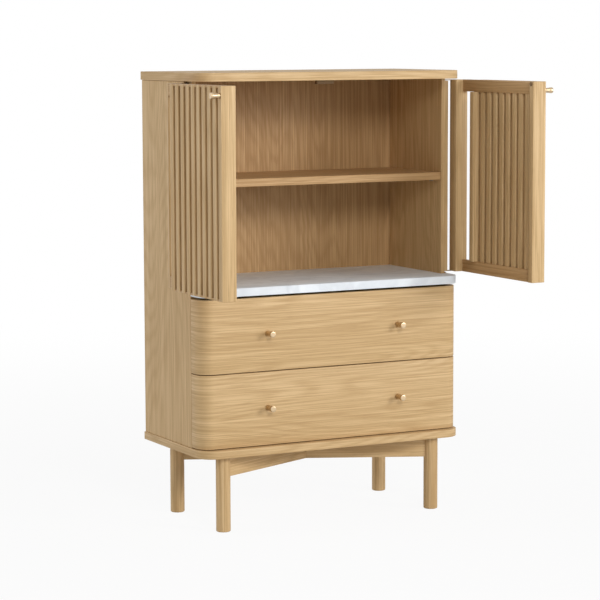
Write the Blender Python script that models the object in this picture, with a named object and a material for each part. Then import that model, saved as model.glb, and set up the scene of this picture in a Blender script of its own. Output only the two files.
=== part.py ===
"""Tall bar cabinet: oak carcass on round legs, two slatted doors, a stone shelf and two drawers.

Metres, +Z up, and the front faces -Y. The pieces are placed about the middle of the cabinet's plan, and
the whole is then moved so that the origin is on the floor under the middle of its box, doors included.
The doors stand open and the drawers are shut, and each moving group hangs on an empty on its axis.
"""

from math import atan2, cos, pi, radians, sin

import bmesh
import bpy
from mathutils import Matrix, Vector

# Overall sizes
WIDTH = 0.900
DEPTH = 0.434
LEG_HEIGHT = 0.230
BODY_HEIGHT = 1.096
TOP_THICKNESS = 0.026
BOTTOM_THICKNESS = 0.024
PANEL_CORNER_RADIUS = 0.056
FIT_GAP = 0.0003
EDGE_BEVEL = 0.0012

# Carcass boards
SIDE_INSET = 0.003
SIDE_THICKNESS = 0.024
BACK_INSET = 0.003
BACK_THICKNESS = 0.012
BACK_RECESS = 0.006
FRONT_INSET = 0.019
FRONT_RETURN = 0.070

# Shelf and its pins
SHELF_THICKNESS = 0.024
SHELF_CLEAR_HEIGHT = 0.295
SHELF_SETBACK = 0.003
PIN_RADIUS = 0.003
PIN_REACH = 0.012
PIN_DEPTH = 0.009
PIN_INSET = 0.050

# Stone shelf and its deck
STONE_THICKNESS = 0.025
STONE_OVERHANG = 0.012
STONE_CORNER_RADIUS = 0.046
STONE_SHADOW_GAP = 0.008
DECK_THICKNESS = 0.012

# Legs and brace
LEG_RADIUS = 0.022
LEG_SIDE_INSET = 0.0875
LEG_FRONT_INSET = 0.0485
LEG_BACK_INSET = 0.054
LEG_FOOT_ROUND = 0.004
BRACE_HEIGHT = 0.063
BRACE_THICKNESS = 0.022

# Drawers
DRAWER_FRONT_HEIGHT = 0.2225
DRAWER_FRONT_GAP = 0.003
DRAWER_SIDE_GAP = 0.001
DRAWER_FRONT_THICKNESS = 0.022
DRAWER_CORNER_RADIUS = 0.045
DRAWER_INNER_RADIUS = 0.006
DRAWER_SIDE_THICKNESS = 0.012
DRAWER_BOX_HEIGHT = 0.150
DRAWER_BOX_LIFT = 0.018
DRAWER_BACK_CLEARANCE = 0.032
DRAWER_BOTTOM_THICKNESS = 0.008
DRAWER_BOTTOM_LIFT = 0.010

# Drawer runners
RUNNER_WIDTH = 0.0125
RUNNER_HEIGHT = 0.045
RUNNER_WALL = 0.0018
RUNNER_LIP = 0.006
RUNNER_SETBACK = 0.006
RUNNER_BACK_CLEARANCE = 0.0085
RUNNER_LIFT = 0.050
BAR_THICKNESS = 0.0050

# Doors
DOOR_TOP_GAP = 0.0044
DOOR_BOTTOM_GAP = 0.0035
DOOR_MEETING_GAP = 0.003
DOOR_THICKNESS = 0.045
DOOR_SIDE_GAP = 0.0055
DOOR_OPEN = radians(90)
POST_WIDTH = 0.038
POST_DEPTH = 0.0415
STILE_WIDTH = 0.022
SLAT_COUNT = 9
SLAT_GAP = 0.0138
WIDE_GAP = 0.062
SLAT_DEPTH = 0.037
REAR_SLAT_DEPTH = 0.049
RAIL_HEIGHT = 0.037
RAIL_THICKNESS = 0.016
RAIL_RECESS = 0.0056
RAIL_LIP_HEIGHT = 0.006
RAIL_LIP_SETBACK = 0.001

# Door hinges: pin leaves on the cabinet, eye leaves in the ends of the door posts
HINGE_AXIS_INSET = 0.0064
HINGE_AXIS_SETBACK = 0.0276
LEAF_THICKNESS = 0.0025
LEAF_RADIUS = 0.0045
PIN_LEAF_REACH = 0.018
EYE_PLATE_INSET = 0.0015
EYE_PLATE_LENGTH = 0.011
EYE_PLATE_MARGIN = 0.006
HINGE_PIN_RADIUS = 0.002
HINGE_PIN_OVERLAP = 0.0024
ARM_CLEARANCE = 0.0009

# Knobs and catch
KNOB_SPACING = 0.450
KNOB_RISE = 0.0025
DRAWER_KNOB_LENGTH = 0.037
DRAWER_KNOB_RADIUS = 0.0095
DRAWER_KNOB_NECK_RADIUS = 0.0080
DOOR_KNOB_LENGTH = 0.028
DOOR_KNOB_RADIUS = 0.0088
DOOR_KNOB_NECK_RADIUS = 0.0074
DOOR_KNOB_DROP = 0.027
CATCH_WIDTH = 0.060
CATCH_DEPTH = 0.014
CATCH_HEIGHT = 0.012
CATCH_PLATE_RADIUS = 0.006
CATCH_PLATE_THICKNESS = 0.002

# Facets of round shapes
CORNER_SEGMENTS = 10
ROUND_SIDES = 32
SMALL_ROUND_SIDES = 16

# Heights and planes that follow from the sizes above
BOTTOM_TOP = LEG_HEIGHT + BOTTOM_THICKNESS
BODY_TOP = BOTTOM_TOP + BODY_HEIGHT
LOWER_FRONT_BASE = BOTTOM_TOP + DRAWER_FRONT_GAP
UPPER_FRONT_BASE = LOWER_FRONT_BASE + DRAWER_FRONT_HEIGHT + DRAWER_FRONT_GAP
STONE_BASE = UPPER_FRONT_BASE + DRAWER_FRONT_HEIGHT + STONE_SHADOW_GAP
STONE_TOP = STONE_BASE + STONE_THICKNESS
SHELF_BASE = STONE_TOP + SHELF_CLEAR_HEIGHT
DOOR_BASE = STONE_TOP + DOOR_BOTTOM_GAP
DOOR_TOP = BODY_TOP - DOOR_TOP_GAP
SIDE_FACE = WIDTH / 2 - SIDE_INSET
INNER_FACE = SIDE_FACE - SIDE_THICKNESS
FRONT_PLANE = -DEPTH / 2 + FRONT_INSET
SIDE_FRONT = FRONT_PLANE + FRONT_RETURN
SIDE_BACK = DEPTH / 2 - BACK_INSET
BACK_FACE = SIDE_BACK - BACK_RECESS - BACK_THICKNESS
HINGE_X = SIDE_FACE - HINGE_AXIS_INSET
HINGE_Y = SIDE_FRONT + HINGE_AXIS_SETBACK
DOOR_BACK = FRONT_PLANE + DOOR_THICKNESS


def clear_scene():
    for old in list(bpy.data.objects):
        bpy.data.objects.remove(old, do_unlink=True)


def finish(name, colour, roughness, metallic=0.0):
    """A plain Principled material."""
    material = bpy.data.materials.new(name)
    material.use_nodes = True
    shader = material.node_tree.nodes["Principled BSDF"]
    shader.inputs["Base Color"].default_value = (*colour, 1)
    shader.inputs["Roughness"].default_value = roughness
    shader.inputs["Metallic"].default_value = metallic
    return material


def add_object(name, shape, material, parent=None):
    """An object from a bmesh given in cabinet coordinates, hung on its parent's closed pose."""
    bmesh.ops.recalc_face_normals(shape, faces=shape.faces)
    mesh = bpy.data.meshes.new(name)
    shape.to_mesh(mesh)
    shape.free()
    mesh.materials.append(material)
    piece = bpy.data.objects.new(name, mesh)
    bpy.context.collection.objects.link(piece)
    if parent is not None:
        mesh.transform(Matrix.Translation(-parent.location))
        piece.parent = parent
    return piece


def add_axis(name, location, turn=0.0):
    """An empty on a joint's axis, turned about Z to the rest pose."""
    axis = bpy.data.objects.new(name, None)
    axis.location = location
    axis.rotation_euler = (0, 0, turn)
    bpy.context.collection.objects.link(axis)
    return axis


def smooth(piece, angle=35):
    piece.data.shade_smooth()
    piece.data.set_sharp_from_angle(angle=radians(angle))
    return piece


def bevel_edges(piece, width=EDGE_BEVEL, segments=1):
    modifier = piece.modifiers.new("edges", "BEVEL")
    modifier.width = width
    modifier.segments = segments
    modifier.limit_method = "ANGLE"
    modifier.angle_limit = radians(40)
    return piece


def box_shape(low, high):
    shape = bmesh.new()
    bmesh.ops.create_cube(shape, size=1)
    for vertex in shape.verts:
        for axis in range(3):
            share = vertex.co[axis] + 0.5
            vertex.co[axis] = low[axis] + share * (high[axis] - low[axis])
    return shape


def board(name, low, high, material, parent=None, edge=EDGE_BEVEL):
    """A straight board between two corners, with eased edges."""
    return bevel_edges(add_object(name, box_shape(low, high), material, parent), edge)


def arc(centre, radius, start, end, segments=CORNER_SEGMENTS):
    """Points on an arc, angles in radians."""
    points = []
    for step in range(segments + 1):
        angle = start + (end - start) * step / segments
        points.append((centre[0] + radius * cos(angle), centre[1] + radius * sin(angle)))
    return points


def ring(centre, radius, sides):
    """Points round a full circle."""
    return arc(centre, radius, 0, 2 * pi, sides)[:-1]


def prism(corners, run):
    """A closed solid: a flat ring of corners drawn along a run."""
    shape = bmesh.new()
    face = shape.faces.new([shape.verts.new(corner) for corner in corners])
    extruded = bmesh.ops.extrude_face_region(shape, geom=[face])
    raised = [item for item in extruded["geom"] if isinstance(item, bmesh.types.BMVert)]
    bmesh.ops.translate(shape, verts=raised, vec=run)
    return shape


def plate_shape(outline, base, top):
    """A plan outline drawn up from base to top."""
    return prism([(x, y, base) for x, y in outline], (0, 0, top - base))


def drawn_along_y(profile, start, end, height):
    """An (x, z) section drawn from y = start to y = end, about a middle height."""
    return prism([(x, start, height + z) for x, z in profile], (0, end - start, 0))


def turned_shape(profile, sides):
    """A closed solid turned round Z from (radius, height) points that start and end on the axis."""
    shape = bmesh.new()
    points = [shape.verts.new((radius, 0, height)) for radius, height in profile]
    edges = [shape.edges.new(pair) for pair in zip(points, points[1:])]
    bmesh.ops.spin(
        shape, geom=points + edges, axis=(0, 0, 1), cent=(0, 0, 0), angle=2 * pi, steps=sides
    )
    bmesh.ops.remove_doubles(shape, verts=shape.verts, dist=1e-5)
    return shape


def move_shape(shape, matrix):
    bmesh.ops.transform(shape, matrix=matrix, verts=shape.verts)
    return shape


def combine(piece, shape, name, operation):
    """A Boolean with a helper shape, which hangs on the same parent and isn't rendered."""
    helper = add_object(name, shape, piece.data.materials[0], piece.parent)
    helper.hide_render = True
    helper.display_type = "WIRE"
    modifier = piece.modifiers.new(name, "BOOLEAN")
    modifier.operation = operation
    modifier.object = helper
    return piece


def cut(piece, shape, name):
    return combine(piece, shape, name, "DIFFERENCE")


def join(piece, shape, name):
    return combine(piece, shape, name, "UNION")


def front_corners(half_width, back, front, radius):
    """A plan outline with square back corners and rounded front ones."""
    left = (-half_width + radius, front + radius)
    right = (half_width - radius, front + radius)
    outline = [(half_width, back), (-half_width, back)]
    outline += arc(left, radius, pi, 1.5 * pi)
    outline += arc(right, radius, 1.5 * pi, 2 * pi)
    return outline


def leaf_outline(side, reach, clearance=0.0):
    """A hinge leaf in plan: a round-ended bar that runs forward from the hinge axis."""
    radius = LEAF_RADIUS + clearance
    start = (side * HINGE_X, HINGE_Y)
    end = (side * HINGE_X, HINGE_Y - reach)
    outline = arc(start, radius, 0, pi, SMALL_ROUND_SIDES // 2)
    outline += arc(end, radius, pi, 2 * pi, SMALL_ROUND_SIDES // 2)
    return outline


def eye_outline(side, clearance=0.0):
    """An eye leaf in plan: an arm from the hinge axis to a plate let into the post."""
    radius = LEAF_RADIUS + clearance
    plate_back = SIDE_FRONT - DOOR_SIDE_GAP - EYE_PLATE_INSET + clearance
    plate_front = plate_back - EYE_PLATE_LENGTH - 2 * clearance
    plate_inner = SIDE_FACE - POST_WIDTH + EYE_PLATE_MARGIN - clearance
    outline = arc((HINGE_X, HINGE_Y), radius, 0, pi, SMALL_ROUND_SIDES // 2)
    outline += [(HINGE_X - radius, plate_back), (plate_inner, plate_back),
                (plate_inner, plate_front), (HINGE_X + radius, plate_front)]
    return [(side * x, y) for x, y in outline]


def make_carcass(oak, inner_oak, stone, steel):
    half_width = WIDTH / 2
    half_depth = DEPTH / 2
    slab = front_corners(half_width, half_depth, -half_depth, PANEL_CORNER_RADIUS)
    bottom = plate_shape(slab, LEG_HEIGHT, BOTTOM_TOP)
    bevel_edges(add_object("bottom_panel", bottom, oak))
    top = plate_shape(slab, BODY_TOP, BODY_TOP + TOP_THICKNESS)
    top = bevel_edges(add_object("top_panel", top, oak))
    for side, word in ((-1, "left"), (1, "right")):
        recess = leaf_outline(side, PIN_LEAF_REACH, FIT_GAP)
        depth = LEAF_THICKNESS + FIT_GAP
        cut(top, plate_shape(recess, BODY_TOP - depth, BODY_TOP + depth), f"{word}_leaf_recess")

    base = BOTTOM_TOP + FIT_GAP
    crown = BODY_TOP - FIT_GAP
    for side, word in ((-1, "left"), (1, "right")):
        inner, outer = sorted((side * INNER_FACE, side * SIDE_FACE))
        panel = add_object(
            f"{word}_side_panel", box_shape((inner, SIDE_FRONT, base), (outer, SIDE_BACK, crown)), oak
        )
        make_arm_notches(bevel_edges(panel), side, word)

    inside = INNER_FACE - FIT_GAP
    back = BACK_FACE + BACK_THICKNESS
    board("back_panel", (-inside, BACK_FACE, base), (inside, back, crown), inner_oak)
    shelf_front = SIDE_FRONT + SHELF_SETBACK
    shelf_back = BACK_FACE - FIT_GAP
    board("shelf", (-inside, shelf_front, SHELF_BASE),
          (inside, shelf_back, SHELF_BASE + SHELF_THICKNESS), inner_oak)
    make_shelf_pins(shelf_front, shelf_back, steel)

    deck_top = STONE_BASE - FIT_GAP
    board("stone_deck", (-inside, shelf_front, deck_top - DECK_THICKNESS),
          (inside, shelf_back, deck_top), inner_oak)
    stone_front = FRONT_PLANE - STONE_OVERHANG
    nose = front_corners(SIDE_FACE, SIDE_FRONT - FIT_GAP, stone_front, STONE_CORNER_RADIUS)
    outline = [(inside, SIDE_FRONT - FIT_GAP), (inside, shelf_back), (-inside, shelf_back),
               (-inside, SIDE_FRONT - FIT_GAP)] + nose[1:] + nose[:1]
    bevel_edges(add_object("stone_shelf", plate_shape(outline, STONE_BASE, STONE_TOP), stone))


def lower_leaf_base():
    """Underside of the lower pin leaf, which carries the eye leaf in the foot of the door."""
    return DOOR_BASE - FIT_GAP - LEAF_THICKNESS


def make_arm_notches(panel, side, word):
    """Notches in the panel's front edge that the eye leaves swing in, above and below the door."""
    inner = HINGE_X - LEAF_RADIUS - ARM_CLEARANCE
    back = HINGE_Y + LEAF_RADIUS + 3 * ARM_CLEARANCE
    front = SIDE_FRONT - DOOR_SIDE_GAP
    outer = SIDE_FACE + DOOR_SIDE_GAP
    low_x, high_x = sorted((side * inner, side * outer))
    arm_room = LEAF_THICKNESS + ARM_CLEARANCE
    ends = (
        ("upper", DOOR_TOP - arm_room, BODY_TOP + arm_room),
        ("lower", lower_leaf_base() - FIT_GAP, DOOR_BASE + arm_room),
    )
    for level, low, high in ends:
        notch = box_shape((low_x, front, low), (high_x, back, high))
        cut(panel, notch, f"{word}_{level}_arm_notch")


def make_shelf_pins(shelf_front, shelf_back, steel):
    """Four steel pins in the side panels, just under the shelf."""
    for side, word in ((-1, "left"), (1, "right")):
        panel = bpy.data.objects[f"{word}_side_panel"]
        for place, y in (("front", shelf_front + PIN_INSET), ("back", shelf_back - PIN_INSET)):
            height = SHELF_BASE - FIT_GAP - PIN_RADIUS
            lying = Matrix.Translation((side * INNER_FACE, y, height))
            lying = lying @ Matrix.Rotation(-side * pi / 2, 4, "Y")
            profile = [(0, -PIN_DEPTH), (PIN_RADIUS, -PIN_DEPTH), (PIN_RADIUS, PIN_REACH), (0, PIN_REACH)]
            pin = move_shape(turned_shape(profile, SMALL_ROUND_SIDES), lying)
            smooth(add_object(f"shelf_pin_{word}_{place}", pin, steel))
            wider = PIN_RADIUS + FIT_GAP
            deeper = PIN_DEPTH + FIT_GAP
            hole = [(0, -deeper), (wider, -deeper), (wider, PIN_REACH), (0, PIN_REACH)]
            cut(panel, move_shape(turned_shape(hole, SMALL_ROUND_SIDES), lying), f"pin_hole_{word}_{place}")


def leg_places():
    front = -DEPTH / 2 + LEG_FRONT_INSET
    back = DEPTH / 2 - LEG_BACK_INSET
    reach = WIDTH / 2 - LEG_SIDE_INSET
    return {
        "front_left": (-reach, front),
        "front_right": (reach, front),
        "back_left": (-reach, back),
        "back_right": (reach, back),
    }


def make_legs(oak):
    top = LEG_HEIGHT - FIT_GAP
    profile = [(0, 0), (LEG_RADIUS - LEG_FOOT_ROUND, 0)]
    profile += arc((LEG_RADIUS - LEG_FOOT_ROUND, LEG_FOOT_ROUND), LEG_FOOT_ROUND, -pi / 2, 0, 4)[1:]
    profile += [(LEG_RADIUS, top), (0, top)]
    for word, (x, y) in leg_places().items():
        leg = move_shape(turned_shape(profile, ROUND_SIDES), Matrix.Translation((x, y, 0)))
        smooth(add_object(f"leg_{word}", leg, oak))


def brace_shape(start, end, low, high, thickness):
    """A rail on edge from start to end, in plan points."""
    run = Vector(end) - Vector(start)
    turn = Matrix.Rotation(atan2(run.y, run.x), 4, "Z")
    half = thickness / 2
    shape = box_shape((0, -half, low), (run.length, half, high))
    return move_shape(shape, Matrix.Translation((*start, 0)) @ turn)


def make_brace(oak):
    """Two rails from leg to leg that cross under the bottom panel in a half-lap joint."""
    legs = leg_places()
    top = LEG_HEIGHT - FIT_GAP
    base = top - BRACE_HEIGHT
    middle = (top + base) / 2
    diagonals = (
        ("brace_rail_left", "front_left", "back_right", (middle - FIT_GAP / 2, top + BRACE_HEIGHT)),
        ("brace_rail_right", "front_right", "back_left", (base - BRACE_HEIGHT, middle + FIT_GAP / 2)),
    )
    for name, first, last, lap in diagonals:
        rail = brace_shape(legs[first], legs[last], base, top, BRACE_THICKNESS)
        rail = add_object(name, rail, oak)
        for end in (first, last):
            cope = ring(legs[end], LEG_RADIUS + FIT_GAP, ROUND_SIDES)
            cut(rail, plate_shape(cope, base - BRACE_HEIGHT, top + BRACE_HEIGHT), f"{name}_{end}_cope")
        other = next(row for row in diagonals if row[0] != name)
        notch = brace_shape(legs[other[1]], legs[other[2]], *lap, BRACE_THICKNESS + 2 * FIT_GAP)
        cut(rail, notch, f"{name}_lap")


def knob_profile(length, radius, neck):
    """A turned knob like a short spool, with a slight waist and a flat, eased end. Its base is at 0."""
    base = (radius + neck) / 2
    ease = radius * 0.12
    return [
        (0, 0),
        (base, 0),
        (base, length * 0.10),
        (neck, length * 0.24),
        (neck, length * 0.48),
        (base, length * 0.64),
        (radius, length * 0.78),
        (radius, length - ease),
        (radius - ease * 0.3, length - ease * 0.3),
        (radius - ease, length),
        (0, length),
    ]


def make_knob(name, place, direction, sizes, brass, parent):
    """A knob whose base is on place and which points along direction."""
    aim = Vector(direction).to_track_quat("Z", "Y").to_matrix().to_4x4()
    start = Vector(place) + Vector(direction) * FIT_GAP
    shape = move_shape(turned_shape(knob_profile(*sizes), ROUND_SIDES), Matrix.Translation(start) @ aim)
    return smooth(add_object(name, shape, brass, parent))


def runner_profile(side):
    """A cabinet runner's C section in (x, z): a wall on the side panel and two lipped flanges."""
    wall_x = INNER_FACE - FIT_GAP
    half = RUNNER_HEIGHT / 2
    inner_half = half - RUNNER_WALL
    lip_half = half - RUNNER_LIP
    mouth = wall_x - RUNNER_WIDTH
    points = [
        (wall_x, -half), (wall_x, half), (mouth, half), (mouth, lip_half),
        (mouth + RUNNER_WALL, lip_half), (mouth + RUNNER_WALL, inner_half),
        (wall_x - RUNNER_WALL, inner_half), (wall_x - RUNNER_WALL, -inner_half),
        (mouth + RUNNER_WALL, -inner_half), (mouth + RUNNER_WALL, -lip_half),
        (mouth, -lip_half), (mouth, -half),
    ]
    return [(side * x, z) for x, z in points]


def bar_profile(side):
    """A drawer runner's T section in (x, z): a bar inside the channel, with a web to the drawer."""
    wall_x = INNER_FACE - FIT_GAP
    mouth = wall_x - RUNNER_WIDTH
    bar_in = mouth + RUNNER_WALL + FIT_GAP
    bar_out = min(bar_in + BAR_THICKNESS, wall_x - RUNNER_WALL - FIT_GAP)
    half = RUNNER_HEIGHT / 2 - RUNNER_WALL - FIT_GAP
    web_half = RUNNER_HEIGHT / 2 - RUNNER_LIP - FIT_GAP
    web_end = mouth - FIT_GAP
    points = [
        (bar_out, -half), (bar_out, half), (bar_in, half), (bar_in, web_half),
        (web_end, web_half), (web_end, -web_half), (bar_in, -web_half), (bar_in, -half),
    ]
    return [(side * x, z) for x, z in points]


def front_outline():
    """A drawer front in plan: a board whose rounded ends turn back to the side panels."""
    back = SIDE_FRONT - DRAWER_SIDE_GAP
    radius = DRAWER_CORNER_RADIUS
    outer = front_corners(SIDE_FACE, back, FRONT_PLANE, radius)
    inner = front_corners(
        SIDE_FACE - DRAWER_FRONT_THICKNESS, back, FRONT_PLANE + DRAWER_FRONT_THICKNESS,
        DRAWER_INNER_RADIUS
    )
    return outer[1:] + outer[:1] + inner[:1] + inner[:0:-1]


def make_drawer(word, base, oak, inner_oak, brass, steel):
    slide = add_axis(f"{word}_drawer_slide", (0, FRONT_PLANE, base))
    top = base + DRAWER_FRONT_HEIGHT
    front = add_object(f"{word}_drawer_front", plate_shape(front_outline(), base, top), oak, slide)
    bevel_edges(front)

    box_out = INNER_FACE - 3 * FIT_GAP - RUNNER_WIDTH
    box_in = box_out - DRAWER_SIDE_THICKNESS
    front_y = FRONT_PLANE + DRAWER_FRONT_THICKNESS + FIT_GAP
    back_y = BACK_FACE - DRAWER_BACK_CLEARANCE
    box_base = base + DRAWER_BOX_LIFT
    box_top = box_base + DRAWER_BOX_HEIGHT
    for side, end in ((-1, "left"), (1, "right")):
        low_x, high_x = sorted((side * box_in, side * box_out))
        board(f"{word}_drawer_side_{end}", (low_x, front_y, box_base), (high_x, back_y, box_top),
              inner_oak, slide)
    inside = box_in - FIT_GAP
    back_start = back_y - DRAWER_SIDE_THICKNESS
    board(f"{word}_drawer_back", (-inside, back_start, box_base), (inside, back_y, box_top),
          inner_oak, slide)
    bottom_base = box_base + DRAWER_BOTTOM_LIFT
    board(f"{word}_drawer_bottom", (-inside, front_y, bottom_base),
          (inside, back_start - FIT_GAP, bottom_base + DRAWER_BOTTOM_THICKNESS), inner_oak, slide)

    runner_start = SIDE_FRONT + RUNNER_SETBACK
    runner_end = BACK_FACE - RUNNER_BACK_CLEARANCE
    runner_middle = box_base + RUNNER_LIFT
    knob_sizes = (DRAWER_KNOB_LENGTH, DRAWER_KNOB_RADIUS, DRAWER_KNOB_NECK_RADIUS)
    knob_height = base + DRAWER_FRONT_HEIGHT / 2 + KNOB_RISE
    for side, end in ((-1, "left"), (1, "right")):
        channel = drawn_along_y(runner_profile(side), runner_start, runner_end, runner_middle)
        add_object(f"{word}_runner_channel_{end}", channel, steel)
        bar = drawn_along_y(bar_profile(side), runner_start + FIT_GAP, back_y, runner_middle)
        add_object(f"{word}_runner_bar_{end}", bar, steel, slide)
        place = (side * KNOB_SPACING / 2, FRONT_PLANE, knob_height)
        make_knob(f"{word}_drawer_knob_{end}", place, (0, -1, 0), knob_sizes, brass, slide)


def post_outline(side):
    """A hinge post in plan, with the door shut: a quarter round with flats to the side and the slats."""
    back = SIDE_FRONT - DOOR_SIDE_GAP
    inner_x = SIDE_FACE - POST_WIDTH
    centre = (inner_x, back - POST_DEPTH + POST_WIDTH)
    points = [(inner_x, back), (SIDE_FACE, back)]
    points += arc(centre, POST_WIDTH, 0, -pi / 2)
    return [(side * x, y) for x, y in points]


def make_door(side, word, oak, brass, steel):
    axis = add_axis(f"{word}_door_hinge", (side * HINGE_X, HINGE_Y, DOOR_BASE), side * DOOR_OPEN)
    post = plate_shape(post_outline(side), DOOR_BASE, DOOR_TOP)
    post = bevel_edges(add_object(f"{word}_door_hinge_post", post, oak, axis))
    recess = eye_outline(side, FIT_GAP)
    depth = LEAF_THICKNESS + FIT_GAP
    for level, height in (("upper", DOOR_TOP), ("lower", DOOR_BASE)):
        cut(post, plate_shape(recess, height - depth, height + depth), f"{word}_{level}_eye_recess")

    lead_x = DOOR_MEETING_GAP / 2
    stile_x = lead_x + STILE_WIDTH
    low_x, high_x = sorted((side * lead_x, side * stile_x))
    board(f"{word}_door_leading_stile", (low_x, FRONT_PLANE, DOOR_BASE), (high_x, DOOR_BACK, DOOR_TOP),
          oak, axis)
    make_slat_panel(side, word, stile_x, SIDE_FACE - POST_WIDTH, oak, axis)
    make_hinge_leaves(side, word, steel, axis)

    stile_middle = side * (lead_x + STILE_WIDTH / 2)
    knob_sizes = (DOOR_KNOB_LENGTH, DOOR_KNOB_RADIUS, DOOR_KNOB_NECK_RADIUS)
    place = (stile_middle, FRONT_PLANE, DOOR_TOP - DOOR_KNOB_DROP)
    make_knob(f"{word}_door_knob", place, (0, -1, 0), knob_sizes, brass, axis)
    plate = turned_shape(
        [(0, 0), (CATCH_PLATE_RADIUS, 0), (CATCH_PLATE_RADIUS, CATCH_PLATE_THICKNESS),
         (0, CATCH_PLATE_THICKNESS)], SMALL_ROUND_SIDES)
    plate_height = BODY_TOP - CATCH_HEIGHT / 2 - CATCH_PLATE_RADIUS
    aim = Matrix.Translation((stile_middle, DOOR_BACK + FIT_GAP, plate_height))
    plate = move_shape(plate, aim @ Matrix.Rotation(-pi / 2, 4, "X"))
    smooth(add_object(f"{word}_door_catch_plate", plate, steel, axis))


def rail_shapes(level, side, start, slats_end, end):
    """A door rail, and the thin lip in front of it that closes the slat gaps at the door's end."""
    back = DOOR_BACK - RAIL_RECESS
    front = back - RAIL_THICKNESS
    edge, inward = (DOOR_TOP, -1) if level == "upper" else (DOOR_BASE, 1)
    low, high = sorted((edge, edge + inward * RAIL_HEIGHT))
    low_x, high_x = sorted((side * start, side * end))
    rail = box_shape((low_x, front, low), (high_x, back, high))
    low, high = sorted((edge + inward * FIT_GAP, edge + inward * RAIL_LIP_HEIGHT))
    low_x, high_x = sorted((side * start, side * (slats_end - SLAT_GAP / 2)))
    lip_back = front + RAIL_THICKNESS / 2
    lip = box_shape((low_x, FRONT_PLANE + RAIL_LIP_SETBACK, low), (high_x, lip_back, high))
    return rail, lip


def make_slat_panel(side, word, stile_x, post_x, oak, axis):
    """Upright slats across two rails from the leading stile to the hinge post. The rear slat is deeper."""
    slats_end = post_x - WIDE_GAP
    pitch = (slats_end - stile_x) / SLAT_COUNT
    run = (side, stile_x + FIT_GAP, slats_end, post_x - FIT_GAP)
    lower_rail, lower_lip = rail_shapes("lower", *run)
    upper_rail, upper_lip = rail_shapes("upper", *run)
    panel = add_object(f"{word}_door_slat_panel", lower_rail, oak, axis)
    join(panel, upper_rail, f"{word}_upper_rail")
    join(panel, lower_lip, f"{word}_lower_lip")
    join(panel, upper_lip, f"{word}_upper_lip")
    for number in range(SLAT_COUNT):
        near = stile_x + number * pitch + SLAT_GAP
        far = stile_x + (number + 1) * pitch
        depth = REAR_SLAT_DEPTH if number == SLAT_COUNT - 1 else SLAT_DEPTH
        low_x, high_x = sorted((side * near, side * far))
        slat = box_shape((low_x, FRONT_PLANE, DOOR_BASE + 2 * FIT_GAP),
                         (high_x, FRONT_PLANE + depth, DOOR_TOP - 2 * FIT_GAP))
        join(panel, slat, f"{word}_slat_{number + 1}")


def pin_shape(side, radius, low, high):
    return plate_shape(ring((side * HINGE_X, HINGE_Y), radius, SMALL_ROUND_SIDES), low, high)


def make_hinge_leaves(side, word, steel, axis):
    """Upper and lower hinges: each pin leaf is on the cabinet, each eye leaf in an end of the post."""
    lower_base = lower_leaf_base()
    rows = (
        ("upper", BODY_TOP, DOOR_TOP - HINGE_PIN_OVERLAP, BODY_TOP + LEAF_THICKNESS / 2,
         DOOR_TOP - LEAF_THICKNESS),
        ("lower", lower_base, lower_base + LEAF_THICKNESS / 2, DOOR_BASE + HINGE_PIN_OVERLAP, DOOR_BASE),
    )
    for level, leaf_base, pin_low, pin_high, eye_base in rows:
        outline = leaf_outline(side, PIN_LEAF_REACH)
        pin_leaf = plate_shape(outline, leaf_base, leaf_base + LEAF_THICKNESS)
        pin_leaf = add_object(f"{word}_{level}_hinge_pin_leaf", pin_leaf, steel)
        join(pin_leaf, pin_shape(side, HINGE_PIN_RADIUS, pin_low, pin_high), f"{word}_{level}_pin")
        eye_leaf = plate_shape(eye_outline(side), eye_base, eye_base + LEAF_THICKNESS)
        eye_leaf = add_object(f"{word}_{level}_hinge_eye_leaf", eye_leaf, steel, axis)
        bore = pin_shape(side, HINGE_PIN_RADIUS + FIT_GAP, eye_base - LEAF_THICKNESS,
                         eye_base + 2 * LEAF_THICKNESS)
        cut(eye_leaf, bore, f"{word}_{level}_bore")


def make_catch(steel):
    """A double magnetic catch under the top panel, behind the meeting stiles."""
    front = DOOR_BACK + CATCH_PLATE_THICKNESS + 4 * FIT_GAP
    top = BODY_TOP - FIT_GAP
    board("door_catch", (-CATCH_WIDTH / 2, front, top - CATCH_HEIGHT),
          (CATCH_WIDTH / 2, front + CATCH_DEPTH, top), steel)


def stand_on_origin():
    """Moves everything so that the origin is on the floor, under the middle of the whole box."""
    bpy.context.view_layer.update()
    graph = bpy.context.evaluated_depsgraph_get()
    corners = []
    for piece in bpy.context.scene.objects:
        if piece.type == "MESH" and not piece.hide_render:
            shown = piece.evaluated_get(graph)
            corners += [shown.matrix_world @ Vector(corner) for corner in shown.bound_box]
    lows = [min(corner[axis] for corner in corners) for axis in range(3)]
    highs = [max(corner[axis] for corner in corners) for axis in range(3)]
    stand = Vector(((lows[0] + highs[0]) / 2, (lows[1] + highs[1]) / 2, lows[2]))
    for piece in bpy.context.scene.objects:
        if piece.parent is None:
            piece.location = piece.location - stand


def main():
    clear_scene()
    oak = finish("oak", (0.60, 0.42, 0.25), 0.5)
    inner_oak = finish("inner_oak", (0.45, 0.29, 0.15), 0.55)
    stone = finish("stone", (0.80, 0.81, 0.82), 0.3)
    brass = finish("brass", (0.78, 0.60, 0.36), 0.3, 1.0)
    steel = finish("steel", (0.55, 0.55, 0.55), 0.4, 1.0)

    make_carcass(oak, inner_oak, stone, steel)
    make_legs(oak)
    make_brace(oak)
    make_drawer("lower", LOWER_FRONT_BASE, oak, inner_oak, brass, steel)
    make_drawer("upper", UPPER_FRONT_BASE, oak, inner_oak, brass, steel)
    make_door(-1, "left", oak, brass, steel)
    make_door(1, "right", oak, brass, steel)
    make_catch(steel)
    stand_on_origin()


main()
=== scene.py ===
"""Tall bar cabinet: finer pieces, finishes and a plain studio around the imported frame."""

import math

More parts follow.
